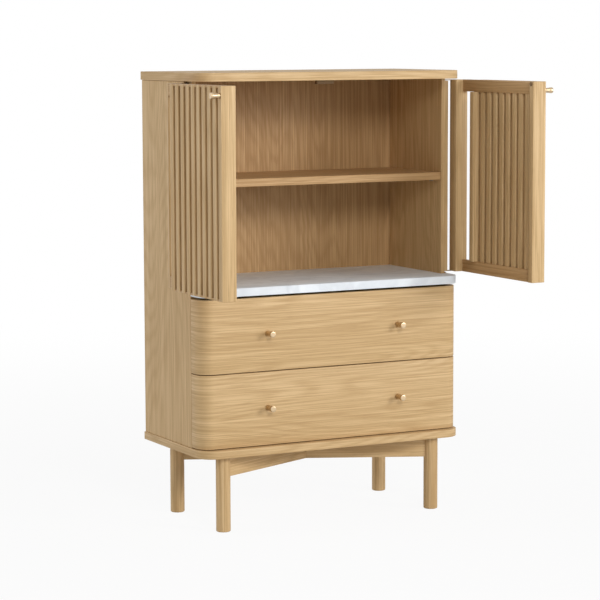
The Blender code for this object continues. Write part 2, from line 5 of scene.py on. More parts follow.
import bmesh
import bpy
from bpy.props import FloatProperty, FloatVectorProperty, IntProperty, PointerProperty
from mathutils import Matrix, Vector


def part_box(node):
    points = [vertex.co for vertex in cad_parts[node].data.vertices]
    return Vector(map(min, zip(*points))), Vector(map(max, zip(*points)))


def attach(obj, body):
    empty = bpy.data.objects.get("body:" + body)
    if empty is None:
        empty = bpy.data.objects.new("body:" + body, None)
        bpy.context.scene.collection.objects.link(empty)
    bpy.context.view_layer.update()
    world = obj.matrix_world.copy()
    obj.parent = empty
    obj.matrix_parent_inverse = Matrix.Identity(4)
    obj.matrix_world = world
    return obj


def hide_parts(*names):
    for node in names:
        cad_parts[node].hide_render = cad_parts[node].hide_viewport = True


bl_info = {
    "name": "Tall bar cabinet",
    "version": (1, 0, 0),
    "blender": (4, 5, 0),
    "location": "View3D > Sidebar > Cabinet",
    "description": "Dresses the packed cabinet in oak, stone and brass, and sets its stage",
    "category": "Object",
}

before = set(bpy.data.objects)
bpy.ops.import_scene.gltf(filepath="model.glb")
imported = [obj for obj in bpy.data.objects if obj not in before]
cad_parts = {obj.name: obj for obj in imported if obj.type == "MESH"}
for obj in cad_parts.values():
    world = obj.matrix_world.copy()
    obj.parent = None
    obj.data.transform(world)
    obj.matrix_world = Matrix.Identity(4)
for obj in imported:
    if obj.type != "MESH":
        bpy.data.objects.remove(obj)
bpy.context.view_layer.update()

SIDES = ("left", "right")
SIDE_SIGNS = (("left", -1), ("right", 1))
LEVELS = ("lower", "upper")
LEG_WORDS = ("front_left", "front_right", "back_left", "back_right")
MM_PER_METRE = 1000
UP = (0, 0, 1)
QUARTER_TURN = math.pi / 2
FULL_TURN = 2 * math.pi

# How finely the pieces are shaped
SMOOTH_ANGLE = math.radians(35)
BEVEL_ANGLE = math.radians(40)
ROUND_PROFILE = 0.5
PLACE_TOLERANCE = 1e-5
SEED_SIZE = 0.01
EDGE_SEGMENTS = 3
RAIL_EDGE_SEGMENTS = 2
SLAB_SEGMENTS = 20
FRONT_SEGMENTS = 24
POST_SEGMENTS = 28
FOOT_SEGMENTS = 5
LEG_FACETS = 72
KNOB_FACETS = 64

# A knob's profile from its foot to its end: a part's radius, a share of it, a share of the length
NECK_SHARE = 0.842
KNOB_PROFILE = (
    ("foot", 0.98, 0.0), ("foot", 1.0, 0.015), ("foot", 1.0, 0.09), ("foot", 0.985, 0.12),
    ("neck", 1.02, 0.20), ("neck", 1.0, 0.26), ("neck", 1.0, 0.46), ("neck", 1.02, 0.52),
    ("foot", 1.0, 0.64), ("head", 0.985, 0.74), ("head", 1.0, 0.79), ("head", 1.0, 0.960),
    ("head", 0.985, 0.983), ("head", 0.95, 0.996), ("head", 0.91, 1.0), ("head", 0.50, 1.0),
    ("head", 0.0, 1.0),
)

# Oak layers: features per metre across, across and along the wood, then detail, roughness, distortion
OAK_LAYERS = {
    "bands": ((52, 52, 0.7), 3.0, 0.55, 0.3),
    "streaks": ((250, 250, 1.5), 4.0, 0.66, 0.25),
    "fine": ((430, 430, 5), 2.0, 0.6, 0.0),
    "drift": ((4.0, 4.0, 0.8), 2.0, 0.5, 0.0),
    "log": ((2.4, 2.4, 0.27), 3.0, 0.45, 0.0),
    "pores": ((620, 620, 22), 2.0, 0.6, 0.0),
    "lines": ((300, 300, 1.2), 3.0, 0.55, 0.15),
}
FIGURE_SHARES = {"bands": 0.13, "streaks": 0.42, "fine": 0.29, "drift": 0.10, "rings": 0.06}
FIGURE_RANGE = (0.34, 0.60)
LINED_RANGE = (-0.2, 1.2)
DARK_LINE_RANGE = (0.57, 0.66)
PALE_LINE_RANGE = (0.33, 0.42)
LINE_DEPTH = 0.42
RING_LINES = 62
RING_WAVER = 1.3
RING_SHARPNESS = 2.2
PORE_RANGE = (0.55, 0.72)
PORES_IN_RINGS = 0.6
PORES_ALL_OVER = 0.4
PORE_DARKNESS = 0.45
PORE_DEPTH = 0.6
FINE_HEIGHT = 0.35
LEVEL_NORMAL = 0.6

# Stone and metal
VEIN_STRETCH = (1.0, 2.2, 1.0)
VEIN_MIDDLE = 0.5
VEIN_WIDTH = 0.05
CLOUD_SHARE = 0.38
VEIN_SHARE = 0.30
SPECK_SHARE = 0.06
SCRATCH_GRAIN = (900, 900, 2600)

# The Mix node has sockets for every kind of data, so they go by number
MIX_FACTOR = 0
MIX_VECTOR_A, MIX_VECTOR_B, MIX_VECTOR_OUT = 4, 5, 1
MIX_COLOUR_A, MIX_COLOUR_B, MIX_COLOUR_OUT = 6, 7, 2
NODE_STEP = 200

# Stage
LAMPS = ("key", "front", "fill")
FLOOR_SIZE = 60
WHITE = (1.0, 1.0, 1.0, 1.0)
IMAGE_WIDTH = 600
SENSOR_WIDTH = 36.0


def colour_property(name, description, default):
    return FloatVectorProperty(
        name=name, description=description, default=default, subtype="COLOR", size=3, min=0.0, max=1.0
    )


def length_property(name, description, default):
    return FloatProperty(
        name=name, description=description, default=default, unit="LENGTH", min=0.0, precision=4
    )


def place_property(name, description, default):
    return FloatVectorProperty(
        name=name, description=description, default=default, subtype="TRANSLATION", unit="LENGTH",
        precision=4
    )


def power_property(name, description, default):
    return FloatProperty(name=name, description=description, default=default, unit="POWER", min=0.0)


def share_property(name, description, default):
    return FloatProperty(
        name=name, description=description, default=default, subtype="FACTOR", min=0.0, max=1.0
    )


def angle_property(name, description, degrees):
    return FloatProperty(
        name=name, description=description, default=math.radians(degrees), subtype="ANGLE"
    )


class CabinetSizes(bpy.types.PropertyGroup):
    edge_round: length_property("Edge round", "Radius of the eased board edges", 0.0014)
    slab_corner: length_property("Slab corner", "Corner radius of the top and bottom panels", 0.056)
    stone_corner: length_property("Stone corner", "Corner radius of the stone shelf's nose", 0.046)
    front_corner: length_property("Front corner", "Corner radius of the drawer fronts", 0.045)
    front_thickness: length_property("Front thickness", "Thickness of the drawer fronts", 0.022)
    slat_gap: length_property("Slat gap", "Gap between two slats", 0.0138)
    wide_gap: length_property("Wide gap", "Gap between the rear slat and the hinge post", 0.062)
    slat_depth: length_property("Slat depth", "Depth of a slat, front to back", 0.037)
    rear_depth: length_property("Rear slat depth", "Depth of the slat beside the wide gap", 0.053)
    rail_height: length_property("Rail height", "Height of the door rails", 0.037)
    rail_thickness: length_property("Rail thickness", "Thickness of the door rails", 0.016)
    rail_clearance: length_property("Rail clearance", "Gap from the rails to the deep slat", 0.0003)
    rail_recess: length_property("Rail recess", "Step from the stile's inner face to the rails", 0.0056)
    lip_height: length_property("Lip height", "Height of the strip that closes the slat gaps", 0.006)
    lip_setback: length_property("Lip setback", "Step from the slats' face to that strip", 0.001)
    foot_round: length_property("Foot round", "Radius round the leg's foot", 0.004)
    leaf_show: length_property("Leaf show", "How far the let-in hinge leaves stand proud", 0.0002)
    slat_count: IntProperty(name="Slats", description="Slats in a door", default=9, min=1)


class CabinetColours(bpy.types.PropertyGroup):
    oak_light: colour_property("Oak, pale", "Early wood of the outer oak", (0.705, 0.498, 0.262))
    oak_dark: colour_property("Oak, deep", "Late wood of the outer oak", (0.490, 0.315, 0.140))
    oak_pore: colour_property("Oak, pores", "Open pores of the outer oak", (0.340, 0.205, 0.085))
    # The inner oak is the outer oak painted darker and more saturated: painted shade for the cabinet's
    # inside, the drawer boxes and the door rails
    inner_light: colour_property("Inner oak, pale", "Early wood inside", (0.585, 0.375, 0.180))
    inner_dark: colour_property("Inner oak, deep", "Late wood inside", (0.395, 0.230, 0.094))
    inner_pore: colour_property("Inner oak, pores", "Open pores inside", (0.300, 0.168, 0.070))
    stone_pale: colour_property("Stone, pale", "Ground colour of the stone", (0.875, 0.925, 0.960))
    stone_vein: colour_property("Stone, veins", "Colour of the stone's veins", (0.560, 0.595, 0.640))
    # The hinges and the catch are tinted dark bronze-brown so that they sink into the shade under the top
    # panel: painted shade
    bronze: colour_property("Bronze", "Colour of the catch and the hinges", (0.210, 0.140, 0.080))
    shade_dark_bronze_dull: colour_property("Bronze, dull", "Colour of the rubbed bronze", (0.280, 0.190, 0.110))
    brass: colour_property("Brass", "Colour of the satin brass", (0.620, 0.470, 0.300))
    brass_dull: colour_property("Brass, dull", "Colour of the handled brass", (0.480, 0.355, 0.215))
    steel: colour_property("Steel", "Colour of the runners and shelf pins", (0.560, 0.560, 0.550))
    steel_dull: colour_property("Steel, dull", "Colour of the greyer steel", (0.400, 0.400, 0.395))


class CabinetStage(bpy.types.PropertyGroup):
    world_level: FloatProperty(
        name="World level", description="Strength of the soft light from all round", default=0.35, min=0.0
    )
    key_power: power_property("Key power", "Power of the lamp at the right", 430.0)
    key_place: place_property("Key place", "Where the lamp at the right stands", (5.6, -8.0, 3.2))
    key_size: length_property("Key size", "Width of the lamp at the right", 4.0)
    front_power: power_property("Front power", "Power of the lamp in front", 140.0)
    front_place: place_property("Front place", "Where the lamp in front stands", (-1.1, -6.0, 3.6))
    front_size: length_property("Front size", "Width of the lamp in front", 1.8)
    fill_power: power_property("Fill power", "Power of the lamp at the left", 84.0)
    fill_place: place_property("Fill place", "Where the lamp at the left stands", (-5.0, 2.6, 2.4))
    fill_size: length_property("Fill size", "Width of the lamp at the left", 3.5)
    lamp_target: place_property("Lamp target", "Where the lamps point", (0.0, 0.1, 0.75))
    floor_glow: share_property("Floor glow", "Share of plain white seen in the floor at the feet", 0.92)
    floor_near: length_property("Floor near", "How far from the middle the floor keeps its shadow", 1.2)
    floor_far: length_property("Floor far", "How far from the middle the floor is plain white", 5.0)
    floor_grey: share_property("Floor tone", "Diffuse tone of the floor", 0.80)
    camera_place: place_property("Camera place", "Where the camera stands", (-3.3123, -6.1599, 1.4833))
    camera_yaw: angle_property("Camera yaw", "Turn of the camera to the right of +Y", 27.571)
    camera_pitch: angle_property("Camera pitch", "Tilt of the camera below level", 6.546)
    camera_roll: angle_property("Camera roll", "Roll of the camera", -0.186)
    focal_pixels: FloatProperty(
        name="Focal length", description="Focal length in pixels of the frame", default=2303.1, min=1.0
    )


def sizes():
    return bpy.context.scene.cabinet_sizes


def colours():
    return bpy.context.scene.cabinet_colours


# Modelling steps


def deselect_all():
    if bpy.context.mode != "OBJECT":
        bpy.ops.object.mode_set(mode="OBJECT")
    bpy.ops.object.select_all(action="DESELECT")


def make_active(piece):
    deselect_all()
    piece.select_set(True)
    bpy.context.view_layer.objects.active = piece


def named(piece, name):
    piece.name = name
    piece.data.name = name
    return piece


def settle(piece):
    """Puts a piece's place, turn and scale into its mesh."""
    make_active(piece)
    bpy.ops.object.transform_apply(location=True, rotation=True, scale=True)
    return piece


def start_box(name, low, high):
    """A box between two corners, to be shaped further."""
    deselect_all()
    low = Vector(low)
    high = Vector(high)
    bpy.ops.mesh.primitive_cube_add(size=1, location=(low + high) / 2)
    piece = named(bpy.context.object, name)
    piece.scale = high - low
    return settle(piece)


def start_point(name, place):
    """A single point to draw an outline from, left in edit mode."""
    deselect_all()
    bpy.ops.mesh.primitive_plane_add(size=SEED_SIZE, location=place)
    piece = settle(named(bpy.context.object, name))
    open_mesh(piece, "VERT", "SELECT")
    bpy.ops.mesh.merge(type="CENTER")
    return piece


def copy_piece(piece, name, move):
    """A copy with a mesh of its own, moved in that mesh."""
    make_active(piece)
    bpy.ops.object.duplicate(linked=False)
    twin = named(bpy.context.object, name)
    bpy.ops.transform.translate(value=move)
    return settle(twin)


def open_mesh(piece, kind, action):
    """Opens a piece in edit mode, with all or none of its points, edges or faces selected."""
    make_active(piece)
    bpy.ops.object.mode_set(mode="EDIT")
    bpy.ops.mesh.select_mode(type=kind)
    bpy.ops.mesh.select_all(action=action)


def edit_edges(piece, wanted):
    """Opens a piece in edit mode with only the wanted edges selected."""
    open_mesh(piece, "EDGE", "DESELECT")
    shape = bmesh.from_edit_mesh(piece.data)
    for edge in shape.edges:
        if wanted(edge.verts[0].co, edge.verts[1].co):
            edge.select_set(True)
    bmesh.update_edit_mesh(piece.data)


def edit_faces(piece, wanted):
    """Opens a piece in edit mode with only the faces of wanted middles selected."""
    open_mesh(piece, "FACE", "DESELECT")
    shape = bmesh.from_edit_mesh(piece.data)
    for face in shape.faces:
        if wanted(face.calc_center_median()):
            face.select_set(True)
    bmesh.update_edit_mesh(piece.data)


def near(value, target):
    return abs(value - target) < PLACE_TOLERANCE


def round_selected(radius, segments):
    """Rounds the selected edges of the piece in edit mode, and leaves that mode."""
    bpy.ops.mesh.bevel(
        offset_type="OFFSET", offset=radius, segments=segments, profile=ROUND_PROFILE, affect="EDGES",
        clamp_overlap=False
    )
    bpy.ops.object.mode_set(mode="OBJECT")


def round_front_corners(piece, low, high, radius, segments):
    """Rounds the two upright edges at the front of a box."""

    def on_corner(first, second):
        upright = near(first.x, second.x) and near(first.y, second.y)
        at_end = near(first.x, low.x) or near(first.x, high.x)
        return upright and at_end and near(first.y, low.y)

    edit_edges(piece, on_corner)
    round_selected(radius, segments)


def split_at(piece, place, normal):
    """Cuts a piece's faces along a plane and keeps both halves."""
    open_mesh(piece, "FACE", "SELECT")
    bpy.ops.mesh.bisect(plane_co=place, plane_no=normal)
    bpy.ops.object.mode_set(mode="OBJECT")


def pull_faces(piece, wanted, move):
    """Extrudes the wanted faces along a move."""
    edit_faces(piece, wanted)
    bpy.ops.mesh.extrude_region_move(TRANSFORM_OT_translate={"value": move})
    bpy.ops.object.mode_set(mode="OBJECT")


def take_away(piece, cutter):
    """Cuts the cutter out of a piece."""
    modifier = piece.modifiers.new("cut", "BOOLEAN")
    modifier.operation = "DIFFERENCE"
    modifier.object = cutter
    make_active(piece)
    bpy.ops.object.modifier_apply(modifier=modifier.name)
    bpy.data.objects.remove(cutter, do_unlink=True)


def shade_round(piece):
    """Shades a piece smooth, apart from its sharp edges."""
    make_active(piece)
    bpy.ops.object.shade_smooth_by_angle(angle=SMOOTH_ANGLE)
    return piece


def ease_edges(piece, width, segments=EDGE_SEGMENTS):
    """Rounds every sharp edge and shades the round parts smooth."""
    modifier = piece.modifiers.new("eased", "BEVEL")
    modifier.width = width
    modifier.segments = segments
    modifier.limit_method = "ANGLE"
    modifier.angle_limit = BEVEL_ANGLE
    modifier.use_clamp_overlap = True
    make_active(piece)
    bpy.ops.object.modifier_apply(modifier=modifier.name)
    shade_round(piece)


def line_on(move):
    """Draws on from the selected point by a move."""
    bpy.ops.mesh.extrude_vertices_move(TRANSFORM_OT_translate={"value": move})


def spin_on(centre, axis, angle, steps):
    """Draws on from what is selected by turning it about an axis."""
    bpy.ops.mesh.spin(steps=steps, angle=angle, center=centre, axis=axis)


def weld_points():
    """Merges the doubled points of the piece in edit mode, and selects all of it."""
    bpy.ops.mesh.select_all(action="SELECT")
    bpy.ops.mesh.remove_doubles(threshold=PLACE_TOLERANCE)
    bpy.ops.mesh.select_all(action="SELECT")


def face_outwards():
    """Turns the faces of the piece in edit mode outwards, and leaves that mode."""
    bpy.ops.mesh.select_all(action="SELECT")
    bpy.ops.mesh.normals_make_consistent(inside=False)
    bpy.ops.object.mode_set(mode="OBJECT")


def dress(piece, material, body, node):
    """Gives a finished piece its finish, its body and the node it stands for."""
    piece.data.materials.clear()
    piece.data.materials.append(material)
    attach(piece, body)
    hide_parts(node)


# Finishes


def add_node(tree, kind, **values):
    """Adds a node to the right of those that the tree has."""
    node = tree.nodes.new(kind)
    node.location.x = NODE_STEP * len(tree.nodes)
    for name, value in values.items():
        setattr(node, name, value)
    return node


def noise(tree, vector, detail, roughness=0.5, distortion=0.0, scale=1.0):
    node = add_node(tree, "ShaderNodeTexNoise")
    node.inputs["Scale"].default_value = scale
    node.inputs["Detail"].default_value = detail
    node.inputs["Roughness"].default_value = roughness
    node.inputs["Distortion"].default_value = distortion
    tree.links.new(vector, node.inputs["Vector"])
    return node.outputs["Fac"]


def stretched(tree, vector, scale):
    node = add_node(tree, "ShaderNodeMapping")
    node.inputs["Scale"].default_value = scale
    tree.links.new(vector, node.inputs["Vector"])
    return node.outputs["Vector"]


def math_node(tree, operation, *values):
    """A Math node fed with numbers and sockets."""
    node = add_node(tree, "ShaderNodeMath", operation=operation)
    for socket, value in zip(node.inputs, values):
        if isinstance(value, (int, float)):
            socket.default_value = value
        else:
            tree.links.new(value, socket)
    return node.outputs[0]


def ranged(tree, value, low, high, out_low=0.0, out_high=1.0):
    """Takes a value's range to another one, with soft ends."""
    node = add_node(tree, "ShaderNodeMapRange", interpolation_type="SMOOTHSTEP")
    for name, setting in (("From Min", low), ("From Max", high), ("To Min", out_low), ("To Max", out_high)):
        node.inputs[name].default_value = setting
    tree.links.new(value, node.inputs["Value"])
    return node.outputs["Result"]


def mixed(tree, factor, first, second):
    """A mix of two colours, each one a tuple or a socket."""
    node = add_node(tree, "ShaderNodeMix", data_type="RGBA")
    tree.links.new(factor, node.inputs[MIX_FACTOR])
    for number, value in ((MIX_COLOUR_A, first), (MIX_COLOUR_B, second)):
        if isinstance(value, tuple):
            node.inputs[number].default_value = (*value, 1.0)
        else:
            tree.links.new(value, node.inputs[number])
    return node.outputs[MIX_COLOUR_OUT]


def make_group(name, labels):
    """A shader group that takes a vector and puts out the labelled values."""
    group = bpy.data.node_groups.new(name, "ShaderNodeTree")
    group.interface.new_socket("Vector", in_out="INPUT", socket_type="NodeSocketVector")
    for label in labels:
        group.interface.new_socket(label, in_out="OUTPUT", socket_type="NodeSocketFloat")
    entry = add_node(group, "NodeGroupInput")
    leave = add_node(group, "NodeGroupOutput")
    return group, entry.outputs["Vector"], leave.inputs


def oak_figure_group():
    """Oak with its grain along Z: growth rings drawn out to flames, fine streaks and open pores."""
    group, vector, out = make_group("oak_figure", ("Figure", "Pores", "Height"))
    layers = {
        name: noise(group, stretched(group, vector, grain), *settings)
        for name, (grain, *settings) in OAK_LAYERS.items()
    }

    # Level lines of a slow, drawn-out field look like the rings of a board cut from a log
    waver = math_node(group, "MULTIPLY", layers["streaks"], RING_WAVER)
    turns = math_node(group, "MULTIPLY_ADD", layers["log"], RING_LINES, waver)
    waves = math_node(group, "SINE", math_node(group, "MULTIPLY", turns, FULL_TURN))
    lifted = math_node(group, "MULTIPLY_ADD", waves, 0.5, 0.5)
    rings = math_node(group, "POWER", lifted, RING_SHARPNESS)
    layers["rings"] = rings

    total = 0.0
    for name, share in FIGURE_SHARES.items():
        total = math_node(group, "MULTIPLY_ADD", layers[name], share, total)
    figure = ranged(group, total, *FIGURE_RANGE)
    dark_lines = ranged(group, layers["lines"], *DARK_LINE_RANGE, 0.0, LINE_DEPTH)
    pale_lines = ranged(group, layers["lines"], *PALE_LINE_RANGE, LINE_DEPTH, 0.0)
    figure = math_node(group, "ADD", figure, math_node(group, "SUBTRACT", dark_lines, pale_lines))

    pores = ranged(group, layers["pores"], *PORE_RANGE)
    pore_share = math_node(group, "MULTIPLY_ADD", rings, PORES_IN_RINGS, PORES_ALL_OVER)
    pores = math_node(group, "MULTIPLY", pores, pore_share)
    dents = math_node(group, "MULTIPLY", pores, -PORE_DEPTH)
    group.links.new(ranged(group, figure, *LINED_RANGE), out["Figure"])
    group.links.new(pores, out["Pores"])
    group.links.new(math_node(group, "MULTIPLY_ADD", layers["fine"], FINE_HEIGHT, dents), out["Height"])
    return group


def handled_metal_group():
    """Satin metal: fine scratches and a soft cloud of handling marks."""
    group, vector, out = make_group("handled_metal", ("Cloud", "Scratches"))
    cloud = noise(group, vector, detail=4.0, roughness=0.6, scale=95.0)
    scratches = noise(group, stretched(group, vector, SCRATCH_GRAIN), detail=2.0, roughness=0.6)
    group.links.new(ranged(group, cloud, low=0.35, high=0.70), out["Cloud"])
    group.links.new(scratches, out["Scratches"])
    return group


def placed_group(tree, name, make, vector):
    """Places a shared group in a tree, and makes it if it is the first time."""
    node = add_node(tree, "ShaderNodeGroup")
    node.node_tree = bpy.data.node_groups.get(name) or make()
    tree.links.new(vector, node.inputs["Vector"])
    return node.outputs


def blank_material(name):
    """A new material, its tree, its shader and its object coordinates."""
    material = bpy.data.materials.new(name)
    material.use_nodes = True
    tree = material.node_tree
    place = add_node(tree, "ShaderNodeTexCoord")
    return material, tree, tree.nodes["Principled BSDF"], place.outputs["Object"]


def vary_roughness(tree, shader, mask, smooth, rough):
    """Lets the roughness follow a mask."""
    tree.links.new(ranged(tree, mask, 0.0, 1.0, smooth, rough), shader.inputs["Roughness"])


def add_bump(tree, shader, height, strength, distance):
    bump = add_node(tree, "ShaderNodeBump")
    bump.inputs["Strength"].default_value = strength
    bump.inputs["Distance"].default_value = distance
    tree.links.new(height, bump.inputs["Height"])
    tree.links.new(bump.outputs["Normal"], shader.inputs["Normal"])


def grain_turn(grain):
    """The turn that lays the grain's run along Z, where the oak figure has it."""
    legs = {word: sum(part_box(f"leg_{word}"), Vector()) / 2 for word in LEG_WORDS}
    runs = {
        "upright": Vector(UP),
        "across": Vector((1, 0, 0)),
        "deep": Vector((0, 1, 0)),
        "to_back_right": legs["back_right"] - legs["front_left"],
        "to_back_left": legs["back_left"] - legs["front_right"],
    }
    return runs[grain].rotation_difference(Vector(UP)).to_euler("XYZ")


def corner_coordinates(tree, start):
    """Coordinates that run on round a board's front corners, from the plane y = start backwards."""
    place = add_node(tree, "ShaderNodeTexCoord")
    parts = add_node(tree, "ShaderNodeSeparateXYZ")
    tree.links.new(place.outputs["Object"], parts.inputs[0])
    x, y, z = parts.outputs
    back = math_node(tree, "MAXIMUM", math_node(tree, "SUBTRACT", y, start), 0.0)
    along = math_node(tree, "MULTIPLY_ADD", math_node(tree, "SIGN", x), back, x)
    edge = add_node(tree, "ShaderNodeCombineXYZ")
    tree.links.new(along, edge.inputs["X"])
    tree.links.new(z, edge.inputs["Z"])

    # Level faces, whose normal points up or down, keep plain coordinates
    facing = add_node(tree, "ShaderNodeSeparateXYZ")
    tree.links.new(place.outputs["Normal"], facing.inputs[0])
    upward = math_node(tree, "ABSOLUTE", facing.outputs["Z"])
    level = math_node(tree, "GREATER_THAN", upward, LEVEL_NORMAL)
    pick = add_node(tree, "ShaderNodeMix", data_type="VECTOR")
    tree.links.new(level, pick.inputs[MIX_FACTOR])
    tree.links.new(edge.outputs[0], pick.inputs[MIX_VECTOR_A])
    tree.links.new(place.outputs["Object"], pick.inputs[MIX_VECTOR_B])
    return pick.outputs[MIX_VECTOR_OUT]


def oak(kind, grain, round_from=None):
    """The outer oak, or the inner oak painted darker as shade, with its grain along a run of grain_turn, or
    on round the front corners.
    """
    name = f"{kind}_{grain}"
    if round_from is not None:
        name = f"{name}_round_{abs(round(round_from * MM_PER_METRE))}"
    found = bpy.data.materials.get(name)
    if found:
        return found
    tones = colours()
    # The inner tones are the outer oak's, painted darker and more saturated as shade
    prefix = "oak" if kind == "outer_oak" else "inner"
    light, dark, pore = (tuple(getattr(tones, f"{prefix}_{tone}")) for tone in ("light", "dark", "pore"))
    material, tree, shader, vector = blank_material(name)
    if round_from is not None:
        vector = corner_coordinates(tree, round_from)
    turn = add_node(tree, "ShaderNodeMapping")
    turn.inputs["Rotation"].default_value = grain_turn(grain)
    tree.links.new(vector, turn.inputs["Vector"])
    oak_figure = placed_group(tree, "oak_figure", oak_figure_group, turn.outputs["Vector"])
    wood = mixed(tree, oak_figure["Figure"], light, dark)
    specks = math_node(tree, "MULTIPLY", oak_figure["Pores"], PORE_DARKNESS)
    tree.links.new(mixed(tree, specks, wood, pore), shader.inputs["Base Color"])
    vary_roughness(tree, shader, oak_figure["Figure"], smooth=0.46, rough=0.58)
    shader.inputs["Specular IOR Level"].default_value = 0.35
    add_bump(tree, shader, oak_figure["Height"], strength=0.25, distance=0.0004)
    return material


def stone():
    """Pale stone with soft grey clouds, thin drifting veins and fine specks."""
    tones = colours()
    material, tree, shader, vector = blank_material("pale_stone")
    cloud = noise(tree, vector, detail=5.0, roughness=0.6, distortion=0.8, scale=4.2)
    cloud = ranged(tree, cloud, low=0.35, high=0.72)
    drawn = stretched(tree, vector, VEIN_STRETCH)
    drift = noise(tree, drawn, detail=4.0, roughness=0.55, distortion=0.9, scale=2.2)
    away = math_node(tree, "ABSOLUTE", math_node(tree, "SUBTRACT", drift, VEIN_MIDDLE))
    vein = ranged(tree, away, 0.0, VEIN_WIDTH, 1.0, 0.0)
    specks = ranged(tree, noise(tree, vector, detail=2.0, scale=420.0), low=0.3, high=0.7)
    ground = tuple(tones.stone_pale)
    for mask, share in ((cloud, CLOUD_SHARE), (vein, VEIN_SHARE), (specks, SPECK_SHARE)):
        ground = mixed(tree, math_node(tree, "MULTIPLY", mask, share), ground, tuple(tones.stone_vein))
    tree.links.new(ground, shader.inputs["Base Color"])
    vary_roughness(tree, shader, specks, smooth=0.50, rough=0.62)
    shader.inputs["Specular IOR Level"].default_value = 0.05
    add_bump(tree, shader, specks, strength=0.08, distance=0.0002)
    return material


def metal(name, bright, dull, smooth, rough):
    """A satin metal, duller and rougher where it is handled."""
    found = bpy.data.materials.get(name)
    if found:
        return found
    material, tree, shader, vector = blank_material(name)
    marks = placed_group(tree, "handled_metal", handled_metal_group, vector)
    shade = mixed(tree, marks["Cloud"], tuple(bright), tuple(dull))
    tree.links.new(shade, shader.inputs["Base Color"])
    vary_roughness(tree, shader, marks["Cloud"], smooth, rough)
    shader.inputs["Metallic"].default_value = 1.0
    add_bump(tree, shader, marks["Scratches"], strength=0.06, distance=0.0002)
    return material


def brass():
    tones = colours()
    return metal("satin_brass", tones.brass, tones.brass_dull, smooth=0.30, rough=0.42)


def steel():
    tones = colours()
    return metal("runner_steel", tones.steel, tones.steel_dull, smooth=0.34, rough=0.48)


# Metal for the hinges and the catch, darkened so that they pass for the shade around them: painted shade
def shade_darkened_metal():
    tones = colours()
    return metal("bronzed_fittings", tones.bronze, tones.shade_dark_bronze_dull, smooth=0.60, rough=0.72)


# Pieces


def inner_and_outer(low, high, sign):
    """The X of a door box's inner and outer face."""
    return (low.x, high.x) if sign > 0 else (high.x, low.x)


class CABINET_OT_panels(bpy.types.Operator):
    """Top and bottom panels: slabs with rounded front corners and eased edges"""

    bl_idname = "cabinet.panels"
    bl_label = "Top and bottom panels"

    def execute(self, context):
        size = sizes()
        for node in ("top_panel", "bottom_panel"):
            low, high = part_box(node)
            if node == "top_panel":
                # The hinge leaves let into its underside show by this much
                low.z += size.leaf_show
            slab = start_box(f"{node}_slab", low, high)
            round_front_corners(slab, low, high, size.slab_corner, SLAB_SEGMENTS)
            ease_edges(slab, size.edge_round)
            dress(slab, oak("outer_oak", "across", low.y), "cabinet", node)
        return {"FINISHED"}


class CABINET_OT_stone_shelf(bpy.types.Operator):
    """The stone shelf: a full-width nose with rounded corners, and a slab between the sides"""

    bl_idname = "cabinet.stone_shelf"
    bl_label = "Stone shelf"

    def execute(self, context):
        size = sizes()
        low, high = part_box("stone_shelf")
        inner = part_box("stone_deck")[1].x
        nose_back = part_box("left_side_panel")[0].y - PLACE_TOLERANCE
        shelf = start_box("stone_shelf_slab", low, (high.x, nose_back, high.z))
        round_front_corners(shelf, low, high, size.stone_corner, SLAB_SEGMENTS)
        for x in (-inner, inner):
            split_at(shelf, (x, nose_back, low.z), (1, 0, 0))

        def between_sides(centre):
            return near(centre.y, nose_back) and abs(centre.x) < inner

        pull_faces(shelf, between_sides, (0, high.y - nose_back, 0))
        ease_edges(shelf, size.edge_round)
        dress(shelf, stone(), "cabinet", "stone_shelf")
        return {"FINISHED"}


class CABINET_OT_legs(bpy.types.Operator):
    """Four round legs with rounded feet"""

    bl_idname = "cabinet.legs"
    bl_label = "Legs"

    def execute(self, context):
        first = None
        for word in LEG_WORDS:
            node = f"leg_{word}"
            low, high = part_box(node)
            middle = (low + high) / 2
            if first is None:
                leg = self.turned_leg(f"{node}_turned", low, high, middle)
                first = (leg, middle)
            else:
                leg = copy_piece(first[0], f"{node}_turned", middle - first[1])
            dress(leg, oak("outer_oak", "upright"), "cabinet", node)
        return {"FINISHED"}

    def turned_leg(self, name, low, high, middle):
        deselect_all()
        bpy.ops.mesh.primitive_cylinder_add(
            vertices=LEG_FACETS, radius=(high.x - low.x) / 2, depth=high.z - low.z, location=middle
        )
        leg = settle(named(bpy.context.object, name))
        edit_edges(leg, lambda first, second: near(first.z, low.z) and near(second.z, low.z))
        round_selected(sizes().foot_round, FOOT_SEGMENTS)
        return shade_round(leg)


class CABINET_OT_drawer_fronts(bpy.types.Operator):
    """Drawer fronts: boards whose rounded ends turn back to the side panels"""

    bl_idname = "cabinet.drawer_fronts"
    bl_label = "Drawer fronts"

    def execute(self, context):
        size = sizes()
        wall = size.front_thickness
        for level in LEVELS:
            node = f"{level}_drawer_front"
            low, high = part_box(node)
            front = start_box(f"{node}_board", low, high)
            round_front_corners(front, low, high, size.front_corner, FRONT_SEGMENTS)
            height = high.z - low.z
            inside = start_box(
                "drawer_front_inside",
                (low.x + wall, low.y + wall, low.z - height),
                (high.x - wall, high.y + wall, high.z + height),
            )
            take_away(front, inside)
            ease_edges(front, size.edge_round)
            dress(front, oak("outer_oak", "across", low.y + wall), f"{level}_drawer", node)
        return {"FINISHED"}


